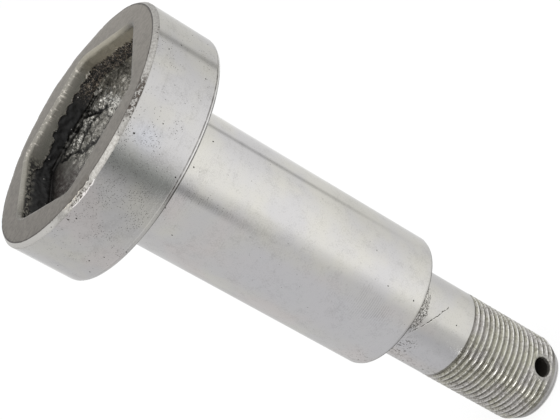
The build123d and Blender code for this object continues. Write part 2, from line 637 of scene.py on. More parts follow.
@dataclass
class ThreadedEnd:
    """The right hand thread, its chamfered end and the split pin hole through it."""

    sizes: PinSizes
    turns_per_inch: float = 14.0
    groove_depth: float = 0.85
    run_out: float = 0.5
    chamfer_length: float = 3.8
    chamfer_depth: float = 1.9
    hole_bevel: float = 0.5
    steps_per_turn: int = 180
    phase: float = -0.08
    margin: float = 0.35
    worn_crest: float = 0.12
    first_turn: Ramp = (1.0, 2.4)
    smooth_round_hole: Ramp = (4.6, 3.2)
    hole_side: Ramp = (0.6, 0.8)
    drill_steps: int = 72
    drill_past: float = 3.0

    @property
    def pitch(self) -> float:
        """The distance from one crest to the next."""
        return 25.4 / self.turns_per_inch

    @property
    def top(self) -> float:
        """The height at which the thread's own mesh ends, in the plain neck."""
        return self.sizes.thread_length + self.margin

    def tooth(self) -> list[Point2]:
        """One pitch of the thread's form, as shares of the pitch and of the groove's depth."""
        rising = [(0.0, 0.0), (0.10, 0.03), (0.42, 0.94), (0.445, 1.0)]
        return rising + [(1.0 - along, share) for along, share in reversed(rising)]

    def build(self) -> bpy.types.Mesh:
        """Cuts the thread and drills its hole.

        Returns:
            A closed mesh in millimetres, capped by one flat face at its top.
        """
        bm = bmesh.new()
        self.wind(bm)
        self.trim(bm)
        self.shape(bm)
        return self.drill(to_mesh(bm, "thread_blank"))

    def wind(self, bm: bmesh.types.BMesh) -> None:
        """Winds one tooth up the axis, a turn for each pitch.

        Args:
            bm: The empty mesh that it is wound in.
        """
        depth, pitch = self.groove_depth, self.pitch
        root = self.sizes.thread_radius - depth
        first = (self.phase - 2.0) * pitch
        turns = math.ceil(self.top / pitch) + 3
        tooth = [(root + share * depth, first + along * pitch) for along, share in self.tooth()]
        spin_outline(bm, tooth, self.steps_per_turn, pitch)
        one_turn = bm.verts[:] + bm.edges[:] + bm.faces[:]
        for turn in range(1, turns):
            copied = bmesh.ops.duplicate(bm, geom=one_turn)["geom"]
            moved = [item for item in copied if isinstance(item, bmesh.types.BMVert)]
            bmesh.ops.translate(bm, verts=moved, vec=(0, 0, turn * pitch))
        bmesh.ops.remove_doubles(bm, verts=bm.verts[:], dist=0.002)

    def trim(self, bm: bmesh.types.BMesh) -> None:
        """Cuts the winding off flat at both ends.

        Args:
            bm: The wound thread.
        """
        for height, normal in ((0.0, (0, 0, -1)), (self.top, (0, 0, 1))):
            geometry = bm.verts[:] + bm.edges[:] + bm.faces[:]
            bmesh.ops.bisect_plane(
                bm, geom=geometry, dist=0.0001, plane_co=(0, 0, height), plane_no=normal, clear_outer=True
            )

    def shape(self, bm: bmesh.types.BMesh) -> None:
        """Fades the grooves out at the neck, at the chamfer and round the hole, and caps the ends.

        Args:
            bm: The trimmed thread.
        """
        s = self.sizes
        mouth = Matrix.Rotation(math.radians(s.hole_angle), 3, "Z") @ Vector((0, -1, 0))
        for vert in bm.verts:
            radius, height = vert.co.xy.length, vert.co.z
            outward = Vector((vert.co.x, vert.co.y, 0.0)).normalized()
            above = vert.co - Vector((0, 0, s.hole_height))
            from_hole = (above - mouth * above.dot(mouth)).length
            side = smoothstep(*self.hole_side, abs(outward.dot(mouth)))
            grooved = 1.0 - smoothstep(*self.smooth_round_hole, from_hole) * side
            at_neck = smoothstep(s.thread_length - self.run_out, s.thread_length, height)
            grooved *= (1.0 - at_neck) * smoothstep(*self.first_turn, height)
            plain = s.thread_radius - self.worn_crest
            plain += (s.neck_radius - plain) * at_neck
            radius = plain + (radius - plain) * grooved
            chamfer = self.chamfer_depth * (1 - height / self.chamfer_length)
            radius = min(radius, s.thread_radius - max(0.0, chamfer))
            vert.co.xy = outward.xy * radius
        for height in (0.0, self.top):
            boundary = (edge for edge in bm.edges if edge.is_boundary)
            rim = [edge for edge in boundary if all(abs(v.co.z - height) < 0.001 for v in edge.verts)]
            bmesh.ops.edgeloop_fill(bm, edges=rim)
        bmesh.ops.recalc_face_normals(bm, faces=bm.faces[:])

    def drill(self, blank: bpy.types.Mesh) -> bpy.types.Mesh:
        """Takes the split pin hole and its bevelled mouths out of the blank.

        Args:
            blank: The closed thread.

        Returns:
            A new mesh with the hole.
        """
        s = self.sizes
        end = s.thread_radius + self.drill_past
        wide = s.hole_radius + self.hole_bevel + self.drill_past
        upper = [(s.hole_radius, s.thread_radius - self.hole_bevel), (wide, end), (0.0, end)]
        lower = [(radius, -along) for radius, along in reversed(upper)]
        bm = bmesh.new()
        spin_outline(bm, lower + upper, self.drill_steps)
        bmesh.ops.remove_doubles(bm, verts=bm.verts[:], dist=0.001)
        bmesh.ops.recalc_face_normals(bm, faces=bm.faces[:])
        turn = Matrix.Rotation(math.radians(s.hole_angle), 4, "Z") @ Matrix.Rotation(math.radians(90), 4, "X")
        bmesh.ops.transform(bm, matrix=Matrix.Translation((0, 0, s.hole_height)) @ turn, verts=bm.verts[:])
        drill = add_object("drill", to_mesh(bm, "drill"))
        work = add_object("thread_work", blank)
        cut = work.modifiers.new("hole", "BOOLEAN")
        cut.operation, cut.solver, cut.object = "DIFFERENCE", "EXACT", drill
        bpy.context.view_layer.update()
        done = bpy.data.meshes.new_from_object(work.evaluated_get(bpy.context.evaluated_depsgraph_get()))
        for item in (drill, work):
            bpy.data.objects.remove(item, do_unlink=True)
        return done


@dataclass
class SuspensionPin:
    """The whole pin as one closed mesh."""

    sizes: PinSizes
    face_steps: int = 7
    flat_angle: float = 38.0
    thread_flat_angle: float = 22.0

    def build(self) -> bpy.types.Object:
        """Builds the parts, joins them and makes the object that stands for the CAD node.

        Returns:
            The pin's object, in metres, at the origin.
        """
        bm = bmesh.new()
        pocket = HexPocket(self.sizes)
        mouth = pocket.build(bm)
        self.paint(bm.faces, Zone.POCKET)
        body = TurnedBody(self.sizes)
        bm.from_mesh(body.build())
        self.close_face(bm, mouth, body)
        thread = ThreadedEnd(self.sizes)
        self.add_thread(bm, thread)
        bmesh.ops.recalc_face_normals(bm, faces=bm.faces[:])
        self.mark_edges(bm)
        open_edges = sum(edge.is_boundary for edge in bm.edges)
        log.info("pin: %d open edges, %d triangles", open_edges, len(bm.calc_loop_triangles()))
        bmesh.ops.scale(bm, vec=(MM, MM, MM), verts=bm.verts[:])
        return add_object("pin", to_mesh(bm, "pin"))

    def paint(self, faces: Iterable[bmesh.types.BMFace], zone: Zone) -> None:
        """Gives faces the finish of a zone and shades them smooth.

        Args:
            faces: The faces.
            zone: Their zone.
        """
        for face in faces:
            face.material_index = zone
            face.smooth = True

    def close_face(self, bm: bmesh.types.BMesh, mouth: list, body: TurnedBody) -> None:
        """Fills the head's flat face between the pocket's mouth and its turned edge.

        Args:
            bm: The mesh.
            mouth: The edges round the pocket.
            body: The turned body.
        """
        top = self.sizes.face_height - 0.001

        def on_edge(vert: bmesh.types.BMVert) -> bool:
            """Whether a vertex lies where the turned part of the face starts."""
            return vert.co.z > top and abs(vert.co.xy.length - body.inner_radius) < 0.001

        ring = [edge for edge in bm.edges if edge.is_boundary and all(on_edge(vert) for vert in edge.verts)]
        made = bmesh.ops.bridge_loops(bm, edges=mouth + ring)
        self.paint(made["faces"], Zone.FACE)
        spokes = [e for e in made["edges"] if abs(e.verts[0].co.xy.length - e.verts[1].co.xy.length) > 2.0]
        bmesh.ops.subdivide_edges(bm, edges=spokes, cuts=self.face_steps, use_grid_fill=True)
        low = self.sizes.face_height - body.face_bevel * 1.4
        for face in bm.faces:
            middle = face.calc_center_median()
            if face.material_index != Zone.POCKET and middle.z > low:
                self.paint([face], Zone.RIM if middle.xy.length > body.rim_radius else Zone.FACE)

    def add_thread(self, bm: bmesh.types.BMesh, thread: ThreadedEnd) -> None:
        """Adds the threaded end and sews it to the neck.

        Args:
            bm: The mesh.
            thread: The threaded end.
        """
        before = set(bm.faces)
        bm.from_mesh(thread.build())
        added = [face for face in bm.faces if face not in before]
        self.paint(added, Zone.THREAD)
        at_top = (face for face in added if abs(face.calc_center_median().z - thread.top) < 0.01)
        cap = [face for face in at_top if face.normal.z > 0.9]
        bmesh.ops.delete(bm, geom=cap, context="FACES_ONLY")
        made = bmesh.ops.bridge_loops(bm, edges=[edge for edge in bm.edges if edge.is_boundary])
        self.paint(made["faces"], Zone.PLATE)

    def mark_edges(self, bm: bmesh.types.BMesh) -> None:
        """Marks the edges that look sharp, outside the torn pocket.

        Args:
            bm: The whole pin.
        """
        for face in bm.faces:
            face.smooth = True
        for edge in bm.edges:
            zones = {face.material_index for face in edge.link_faces}
            if Zone.POCKET in zones or len(edge.link_faces) != 2:
                continue
            limit = self.thread_flat_angle if zones == {Zone.THREAD} else self.flat_angle
            edge.smooth = edge.calc_face_angle() < math.radians(limit)


class Wire:
    """A value in a shader. Arithmetic on it adds Math nodes."""

    def __init__(self, graph: "Graph", socket: bpy.types.NodeSocket) -> None:
        """Wraps an output socket of a graph."""
        self.graph = graph
        self.socket = socket

    def math(self, operation: str, *others: Any) -> "Wire":
        """The result of a Math node on this value and others."""
        return self.graph.wire("ShaderNodeMath", {"operation": operation}, dict(enumerate((self, *others))))

    def flipped(self, operation: str, other: Any) -> "Wire":
        """The same with this value last, for a number on the operator's left."""
        return self.graph.wire("ShaderNodeMath", {"operation": operation}, {0: other, 1: self})

    def __add__(self, other: Any) -> "Wire":
        """self + other"""
        return self.math("ADD", other)

    def __radd__(self, other: Any) -> "Wire":
        """other + self"""
        return self.flipped("ADD", other)

    def __sub__(self, other: Any) -> "Wire":
        """self - other"""
        return self.math("SUBTRACT", other)

    def __rsub__(self, other: Any) -> "Wire":
        """other - self"""
        return self.flipped("SUBTRACT", other)

    def __mul__(self, other: Any) -> "Wire":
        """self * other"""
        return self.math("MULTIPLY", other)

    def __rmul__(self, other: Any) -> "Wire":
        """other * self"""
        return self.flipped("MULTIPLY", other)

    def __abs__(self) -> "Wire":
        """abs(self)"""
        return self.math("ABSOLUTE")

    def most(self, other: Any) -> "Wire":
        """The larger of this value and another."""
        return self.math("MAXIMUM", other)

    def least(self, other: Any) -> "Wire":
        """The smaller of this value and another."""
        return self.math("MINIMUM", other)

    def between(self, low: float, high: float) -> "Wire":
        """A smooth ramp from 0 at low to 1 at high."""
        sockets = {"Value": self, "From Min": low, "From Max": high}
        return self.graph.wire("ShaderNodeMapRange", {"interpolation_type": "SMOOTHSTEP"}, sockets)

    def within(self, start: float, full: float, fading: float, end: float) -> "Wire":
        """1 from full to fading, with smooth ramps up from start and down to end."""
        return self.between(start, full) * self.between(end, fading)

    def bump_at(self, centre: float, half_width: float) -> "Wire":
        """1 at a value, falling to 0 at half_width on either side of it."""
        return abs(self - centre).between(half_width, 0.0)


class Graph:
    """A node tree with the one method that makes its nodes."""

    def __init__(self, owner: bpy.types.Material | bpy.types.World) -> None:
        """Turns nodes on and empties them.

        Args:
            owner: The material or world that has them.
        """
        owner.use_nodes = True
        self.tree = owner.node_tree
        self.tree.nodes.clear()

    def node(self, kind: str, settings: dict | None = None, sockets: dict | None = None) -> bpy.types.Node:
        """Makes a node.

        Args:
            kind: The node's type.
            settings: Its properties, set first.
            sockets: Values or links by socket name or index.

        Returns:
            The node.
        """
        node = self.tree.nodes.new(kind)
        for name, value in (settings or {}).items():
            setattr(node, name, value)
        for name, value in (sockets or {}).items():
            if isinstance(value, Wire):
                self.tree.links.new(value.socket, node.inputs[name])
            else:
                node.inputs[name].default_value = value
        return node

    def wire(
        self, kind: str, settings: dict | None = None, sockets: dict | None = None, output: Any = 0
    ) -> Wire:
        """Makes a node and returns one of its outputs."""
        return Wire(self, self.node(kind, settings, sockets).outputs[output])

    def vector_math(self, operation: str, *values: Any, output: Any = 0) -> Wire:
        """The result of a Vector Math node."""
        return self.wire("ShaderNodeVectorMath", {"operation": operation}, dict(enumerate(values)), output)

    def mix(self, factor: Any, low: Any, high: Any) -> Wire:
        """Mixes two colours."""
        return self.wire("ShaderNodeMix", {"data_type": "RGBA"}, {0: factor, 6: low, 7: high}, 2)

    def coated(self, colour: Any, *coats: tuple[Any, Any]) -> Any:
        """Lays coats over a colour.

        Args:
            colour: What lies under them.
            coats: How much of each one there is, and its colour, from the lowest up.

        Returns:
            The colour that shows.
        """
        for cover, coat in coats:
            colour = self.mix(cover, colour, coat)
        return colour

    def noise(self, vector: Wire, scale: float, detail: float = 3.0, roughness: float = 0.5) -> Wire:
        """Noise from 0 to 1 on a vector in millimetres, scale in waves per millimetre."""
        sockets = {"Vector": vector, "Scale": scale, "Detail": detail, "Roughness": roughness}
        return self.wire("ShaderNodeTexNoise", None, sockets)

    def vector(self, x: Any, y: Any, z: Any) -> Wire:
        """A vector from three values."""
        return self.wire("ShaderNodeCombineXYZ", None, {0: x, 1: y, 2: z})

    def warp(self, vector: Wire, scale: float, amount: float) -> Wire:
        """Shifts a vector by noise, up to an amount in millimetres."""
        shift = self.wire("ShaderNodeTexNoise", None, {"Vector": vector, "Scale": scale}, "Color")
        return self.vector_math("MULTIPLY_ADD", shift, (amount, amount, amount), vector)

    def red(self, colour: Wire) -> Wire:
        """A colour's red, which is a number of its own for each of a pattern's cells."""
        return self.wire("ShaderNodeSeparateColor", None, {0: colour})

    def veins(self, vector: Wire, scale: float) -> Wire:
        """How far a spot lies from the nearest vein of a crackled pattern, as a share of its cells."""
        sockets = {"Vector": vector, "Scale": scale}
        return self.wire("ShaderNodeTexVoronoi", {"feature": "DISTANCE_TO_EDGE"}, sockets)

    def facets(self, vector: Wire, scale: float) -> Wire:
        """The height of small facets that are each tilted their own way.

        Args:
            vector: The place in millimetres.
            scale: How many facets there are to a millimetre.

        Returns:
            The height, in the vector's unit.
        """
        cells = self.node("ShaderNodeTexVoronoi", None, {"Vector": vector, "Scale": scale})
        middle, chance = (Wire(self, cells.outputs[name]) for name in ("Position", "Color"))
        away = self.vector_math("SUBTRACT", vector, middle)
        tilt = self.vector_math("SUBTRACT", chance, (0.5, 0.5, 0.5))
        return self.vector_math("DOT_PRODUCT", away, tilt, output="Value")

    def pits(self, vector: Wire, spacing: float, radius: float, share: Any) -> Wire:
        """Small round pits.

        Args:
            vector: The place in millimetres.
            spacing: How far apart they would lie if all were there.
            radius: Their radius.
            share: The share of them that is there.

        Returns:
            1 inside a pit and 0 elsewhere.
        """
        sockets = {"Vector": self.warp(vector, 1.6 / spacing, spacing * 0.5), "Scale": 1 / spacing}
        cells = self.node("ShaderNodeTexVoronoi", None, sockets)
        distance, chance = (Wire(self, cells.outputs[name]) for name in ("Distance", "Color"))
        there = (share - self.red(chance)).math("GREATER_THAN", 0.0)
        return distance.between(radius / spacing, radius * 0.6 / spacing) * there

    def mark(self, name: str) -> Wire:
        """A mark that the mesh keeps at each vertex."""
        return self.wire("ShaderNodeAttribute", {"attribute_name": name}, None, "Fac")

    def plain_rays(self) -> Wire:
        """Tells the rays that show something from those that only light it.

        Returns:
            1 for rays from the camera, a mirror or glass, and 0 for the rest.
        """
        rays = self.node("ShaderNodeLightPath")
        camera, mirror, glass = (Wire(self, rays.outputs[f"Is {kind} Ray"]) for kind in RAYS_THAT_SEE)
        return camera.most(mirror).most(glass)


@dataclass(frozen=True)
class Place:
    """Where a point of the pin lies, as shader values in millimetres and degrees."""

    graph: Graph
    position: Wire
    x: Wire
    y: Wire
    z: Wire
    angle: Wire
    radius: Wire

    @classmethod
    def read(cls, graph: Graph) -> "Place":
        """Reads Object coordinates and works out the angle and radius about the axis.

        Args:
            graph: The material's nodes.

        Returns:
            The place.
        """
        metres = graph.wire("ShaderNodeTexCoord", None, None, "Object")
        settings = {"operation": "SCALE"}
        position = graph.wire("ShaderNodeVectorMath", settings, {0: metres, "Scale": 1 / MM})
        split = graph.node("ShaderNodeSeparateXYZ", None, {0: position})
        x, y, z = (Wire(graph, socket) for socket in split.outputs)
        angle = x.math("ARCTAN2", 0.0 - y) * math.degrees(1)
        return cls(graph, position, x, y, z, angle, radius=(x * x + y * y).math("SQRT"))

    def noise(self, scale: float, detail: float = 3.0, roughness: float = 0.5) -> Wire:
        """Noise from 0 to 1 on the position, scale in waves per millimetre."""
        return self.graph.noise(self.position, scale, detail, roughness)

    def stretched(self, x: float, y: float, z: float) -> Wire:
        """The position with each of its axes multiplied."""
        return self.graph.vector_math("MULTIPLY", self.position, (x, y, z))


def grey(value: float) -> Colour:
    """A neutral grey as a linear colour."""
    return (value, value, value, 1.0)


@dataclass(frozen=True)
class Finish:
    """Makes a metal's material. A finish below fills in its surface.

    Heights are in millimetres above the end face, and angles in degrees about the axis from the camera's
    side. A span of either is where a patch starts, is full, starts to fade and ends.
    """

    sizes: PinSizes
    name: ClassVar[str]

    def material(self) -> bpy.types.Material:
        """Builds the material.

        Returns:
            A material with this finish's name.
        """
        material = bpy.data.materials.new(self.name)
        graph = Graph(material)
        shader = graph.wire("ShaderNodeBsdfPrincipled", None, self.surface(Place.read(graph)))
        graph.node("ShaderNodeOutputMaterial", None, {"Surface": shader})
        return material

    def surface(self, place: Place) -> dict[str, Any]:
        """The Principled shader's sockets at a place."""
        raise NotImplementedError

    def metal(
        self, colour: Wire, metallic: Any, roughness: Any, height: Wire, distance: float
    ) -> dict[str, Any]:
        """The Principled shader's sockets for a metal.

        Args:
            colour: Its colour.
            metallic: How metallic it is.
            roughness: How rough it is.
            height: Its fine relief, where 1 is the highest.
            distance: How far that stands out, in metres.

        Returns:
            The values and links by socket name.
        """
        sockets = {"Height": height, "Distance": distance, "Strength": 1.0}
        normal = height.graph.wire("ShaderNodeBump", None, sockets)
        return {"Base Color": colour, "Metallic": metallic, "Roughness": roughness, "Normal": normal}

    def down(self, place: Place) -> Wire:
        """How far below the head's face a place lies."""
        return self.sizes.face_height - place.z


@dataclass(frozen=True)
class PlatedSteel(Finish):
    """Turned and zinc plated steel: the head's side, the shank and the neck."""

    name = "zinc_plated_steel"
    roughness: float = 0.06
    warm: Colour = (0.700, 0.685, 0.635, 1)
    cool: Colour = (0.655, 0.646, 0.646, 1)
    rosy: Colour = (0.690, 0.650, 0.640, 1)
    blue: Colour = (0.650, 0.646, 0.668, 1)
    frosty: Colour = (0.690, 0.705, 0.755, 1)
    olive: Colour = (0.648, 0.664, 0.632, 1)
    brightened: Colour = (0.97, 0.96, 0.93, 1)
    soot_and_shade: Colour = (0.075, 0.066, 0.057, 1)
    pit_floor: Colour = grey(0.012)
    blue_angles: Span = (-58.0, -40.0, -18.0, -4.0)
    blue_heights: Ramp = (112.0, 98.0)
    streaked_heights: Ramp = (104.0, 124.0)
    chatter_waves: float = 10.1
    under_head: Ramp = (132.0, 132.5)
    edge_line: float = 0.84
    upper_line: float = 1.30
    pitted_shank: Ramp = (108.0, 126.0)
    pitted_angles: Span = (-44.0, -28.0, -8.0, 2.0)
    brown_angles: Span = (-52.0, -30.0, -6.0, 6.0)
    brown_heights: Ramp = (142.0, 150.0)
    dirty_angles: Span = (-104.0, -92.0, -62.0, -42.0)
    dirty_heights: Ramp = (66.0, 56.0)
    crack_height: float = 46.5
    crack_angles: Span = (-24.0, -16.0, 28.0, 38.0)
    mark_foot: float = 47.4
    mark_angles: Span = (-24.0, -12.0, 38.0, 50.0)

    def surface(self, place: Place) -> dict[str, Any]:
        """Clouded pale metal, turning marks, pits, dirt, the torn neck mark, painted shade and a painted
        glint.

        Args:
            place: Where a point of the pin lies.

        Returns:
            The Principled shader's sockets.
        """
        angle, z, head_foot = place.angle, place.z, self.sizes.seat_height
        grain = place.noise(2.6, 2.0)
        lathe = place.graph.noise(place.stretched(0.02, 0.02, 1.0), 1.3, 4.0, 0.75)
        blotch = place.noise(0.45, 4.0, 0.65)
        patch = place.noise(0.13, 2.0, 0.6)
        pits = self.pitting(place)
        torn = self.torn_neck(place)
        streaky = z.between(*self.streaked_heights) * angle.between(2.0, 10.0)
        dull = (0.5 - grain) * 0.44 + (0.5 - blotch) * 0.42 + (0.5 - patch) * 0.30
        dull = dull + (0.5 - lathe) * streaky * 0.35
        ribbed = z.bump_at(67.0, 10.0) * angle.bump_at(-10.0, 20.0) * 0.9
        ribbed = ribbed + z.bump_at(121.0, 16.0) * angle.bump_at(-5.0, 8.0) * 0.1
        chatter = (z * self.chatter_waves).math("SINE") * ribbed
        dark = (dull + chatter * 0.22 + pits * 0.95 + torn * 0.95 + self.grime_and_shade(place)).most(0.0)
        # Painted shade on the rounding under the head, on the left, and along the shank's left edge.
        rounded = z.between(head_foot + 1.5, head_foot + 1.2) * z.between(*self.under_head)
        dark = dark + rounded * angle.between(4.0, -6.0) * (0.18 + angle.bump_at(-3.0, 12.0) * 0.30)
        dark = dark + angle.bump_at(-76.0, 12.0) * z.between(114.0, 108.0) * 0.13
        # Darker in a band high on the head, a little to the right.
        dark = dark + angle.bump_at(16.0, 18.0) * z.between(141.0, 147.0) * 0.10
        # Painted highlight: a thin glint line on the rounding under the head, near the camera's side.
        painted_edge_glint = z.bump_at(head_foot + self.edge_line, 0.2) * angle.between(-6.0, 8.0) * (grain + 0.55)
        colour = place.graph.coated(
            self.clouds(place), (painted_edge_glint, self.brightened), (dark, self.soot_and_shade), (pits * 0.6, self.pit_floor)
        )
        height = lathe * 0.25 + grain * 0.25 + blotch * 0.3 + chatter * 0.35 - pits * 0.2 - torn * 3.0
        roughness = self.roughness + blotch * 0.06 + torn * 0.3 + pits * 0.3
        return self.metal(colour, 1.0, roughness, height, 0.00003)

    def clouds(self, place: Place) -> Wire:
        """The plating's pastel clouds.

        Args:
            place: Where a point of the pin lies.

        Returns:
            The colour, warm or cool, and rosy, blue, frosty and olive in places.
        """
        angle, z, head_foot = place.angle, place.z, self.sizes.seat_height
        clouds = place.noise(0.05, 2.0) + place.noise(0.2, 3.0) * 0.35 - angle.between(-8.0, 12.0) * 0.10
        rosy = place.noise(0.07, 2.0).between(0.45, 0.62) * angle.between(8.0, -10.0)
        blue = angle.within(*self.blue_angles) * z.between(*self.blue_heights)
        frost = angle.bump_at(9.0, 10.0) * z.bump_at(146.5, 6.0)
        olive = angle.bump_at(-3.0, 9.0) * z.between(head_foot, head_foot + 3.0)
        return place.graph.coated(
            self.warm,
            (clouds.between(0.44, 0.80), self.cool),
            (rosy * 0.7, self.rosy),
            (blue * 0.8, self.blue),
            (frost * 0.8, self.frosty),
            (olive * 0.9, self.olive),
        )

    def pitting(self, place: Place) -> Wire:
        """Pits, sparse on the shank and thick on the head's side where it faces the camera.

        Args:
            place: Where a point of the pin lies.

        Returns:
            How far inside a pit it lies, from 0 to 1.
        """
        angle, z = place.angle, place.z
        head = z.between(self.sizes.seat_height - 2, self.sizes.seat_height)
        upper_shank = z.between(*self.pitted_shank) * (1.0 - head)
        speckled = angle.bump_at(6.0, 16.0) * z.between(137.0, 146.0)
        crowded = head * (angle.within(*self.pitted_angles) * 0.8 + speckled * 0.5 + 0.15) + 0.01
        lined = z.bump_at(122.0, 13.0) * angle.bump_at(-2.0, 7.0) * 0.35
        share = crowded * place.noise(0.22, 2.0).between(0.42, 0.62) + lined
        few = place.graph.pits(place.position, 1.3, 0.26, 0.012 + upper_shank * 0.05 + head * 0.04)
        many = place.graph.pits(place.position, 0.40, 0.15, share)
        return few.most(many * 0.48)

    def grime_and_shade(self, place: Place) -> Wire:
        """Painted shade along the parts' edges, brown grain on the head, and dirt by the shoulder on the
        left.

        Args:
            place: Where a point of the pin lies.

        Returns:
            How dark it is.
        """
        angle, z, radius = place.angle, place.z, place.radius
        head_foot, shank_foot = self.sizes.seat_height, self.sizes.shoulder_height
        left = angle.between(0.0, -14.0)
        # Painted shade: dark lines under the head, at the shank's end and on the neck below the shoulder.
        low = z + left * 0.22 - head_foot
        head_edge = low.between(0.78, 0.62) * z.between(*self.under_head)
        head_edge = head_edge.most(z.bump_at(head_foot + self.upper_line, 0.36) * (0.95 - left * 0.85))
        shank_edge = z.between(shank_foot + 0.75, shank_foot + 0.35) * radius.between(17.0, 17.5)
        root = radius.between(13.6, 12.9) * z.between(shank_foot - 1.0, shank_foot - 0.5)
        lines = (head_edge + shank_edge + root).least(1.0)
        broken = place.noise(0.8, 3.0).between(0.30, 0.55)
        brown = place.noise(1.9, 3.0, 0.7).between(0.52, 0.66) * z.between(*self.brown_heights)
        dirt = place.noise(1.2, 3.0, 0.7).between(0.56, 0.63) * angle.within(*self.dirty_angles)
        dirt = dirt * z.between(*self.dirty_heights) * (1.0 - root)
        return lines * (0.45 + broken * 0.35) + brown * angle.within(*self.brown_angles) * 0.15 + dirt * 0.5

    def torn_neck(self, place: Place) -> Wire:
        """The torn mark under the shoulder, the crack that runs from it, and rough specks beside it.

        Args:
            place: Where a point of the pin lies.

        Returns:
            How deep in one of them it lies, from 0 to 1.
        """
        angle, z = place.angle, place.z
        wander = place.noise(0.5, 2.0) - 0.5
        line_height = self.crack_height - angle * 0.14 + wander * 1.2
        crack = abs(z - line_height).between(0.25, 0.08) * angle.within(*self.crack_angles)
        crack = crack * place.noise(1.3, 2.0).between(0.40, 0.54)
        foot = self.mark_foot + abs(angle - 10.0) * 0.05 + wander * 1.6
        inside = (z - foot).between(-0.2, 0.3) * angle.within(*self.mark_angles)
        creases = place.graph.noise(place.stretched(0.7, 0.7, 1.3), 1.5, 3.0, 0.6)
        mark = inside * abs(creases - 0.5).between(0.055, 0.015)
        specks = place.noise(1.6, 2.0).between(0.55, 0.61) * angle.within(-72.0, -60.0, -34.0, -20.0)
        specks = specks * z.between(43.0, 46.0) * 0.65
        return place.radius.between(14.5, 13.5) * mark.most(crack).most(specks)


@dataclass(frozen=True)
class FaceSteel(Finish):
    """The head's face: matte, warm and fine grained, with a dark line round its edge."""

    name = "matte_face_steel"
    dim: Colour = (0.098, 0.088, 0.076, 1)
    pale: Colour = (0.222, 0.205, 0.180, 1)
    soot_and_shade: Colour = (0.035, 0.03, 0.026, 1)
    line_inset: float = 1.05

    def surface(self, place: Place) -> dict[str, Any]:
        """A fine grain over warm grey metal, a little paler to the right and at the back by painted light.

        Args:
            place: Where a point of the pin lies.

        Returns:
            The Principled shader's sockets.
        """
        grain = place.noise(0.9, 4.0, 0.7)
        shade = grain.between(0.25, 0.75) * 0.6 + place.noise(0.25) * 0.4
        # Painted light: the face grows paler to the right and towards the back.
        shade = shade + place.y * 0.0033 + place.x * 0.007 + 0.085
        from_line = place.radius + (place.noise(0.6) - 0.5) * 0.5 - (self.sizes.head_radius - self.line_inset)
        line = from_line.between(-0.42, -0.08) * (0.55 + abs(place.angle).between(20.0, 80.0) * 0.35)
        pits = place.graph.pits(place.position, 1.1, 0.22, 0.08)
        colour = place.graph.coated(self.dim, (shade, self.pale), (line.most(pits * 0.5), self.soot_and_shade))
        return self.metal(colour, 0.6, 0.50, grain, 0.00006)


@dataclass(frozen=True)
class RimSteel(Finish):
    """The bevel round the face: bright where rubbed, dark and pitted elsewhere, with a battered stretch."""

    name = "rubbed_rim_steel"
    dim: Colour = (0.25, 0.24, 0.225, 1)
    pale: Colour = (0.40, 0.39, 0.37, 1)
    rubbed_dim: Colour = (0.36, 0.345, 0.32, 1)
    rubbed_pale: Colour = (0.52, 0.505, 0.475, 1)
    left_metal: Colour = (0.47, 0.46, 0.44, 1)
    burr_metal: Colour = (0.66, 0.605, 0.52, 1)
    far_metal: Colour = (0.10, 0.092, 0.082, 1)
    burnt: Colour = (0.05, 0.038, 0.030, 1)
    rubbed_angles: Span = (-34.0, -31.0, 3.5, 6.0)
    pitted_angles: Span = (11.0, 16.0, 28.0, 34.0)
    burr_angles: Span = (-34.0, -30.0, -19.0, -15.0)
    left_side: Ramp = (-36.0, -44.0)
    far_side: Ramp = (95.0, 115.0)

    def surface(self, place: Place) -> dict[str, Any]:
        """Bright strips, pits and brown specks, placed by the angle about the axis.

        Args:
            place: Where a point of the pin lies.

        Returns:
            The Principled shader's sockets.
        """
        graph, down = place.graph, self.down(place)
        angle = place.angle + (place.noise(0.5) - 0.5) * 8.0
        brightened = angle.within(*self.rubbed_angles)
        left = angle.between(*self.left_side)
        grain = place.noise(1.8, 4.0, 0.65)
        specks = place.noise(1.5, 3.0, 0.7)
        burr = angle.within(*self.burr_angles) * down.between(0.70, 0.35) * grain.between(0.42, 0.60)
        pits = graph.pits(place.position, 0.7, 0.24, 0.20 - brightened * 0.17 - left * 0.15)
        dark = angle.within(*self.pitted_angles) * specks.between(0.45, 0.53) + pits
        burnt = angle.bump_at(-24.0, 10.0) * specks.between(0.46, 0.54) * down.between(0.25, 0.70)
        colour = graph.coated(
            self.dim,
            (grain.between(0.3, 0.7), self.pale),
            (brightened, graph.mix(grain.between(0.35, 0.6), self.rubbed_dim, self.rubbed_pale)),
            (left, self.left_metal),
            (burr, self.burr_metal),
            (abs(angle).between(*self.far_side) * 0.85, self.far_metal),
            (dark.most(burnt) * 0.9, self.burnt),
        )
        return self.metal(colour, 0.75, 0.46, grain * 0.6 - dark, 0.00012)


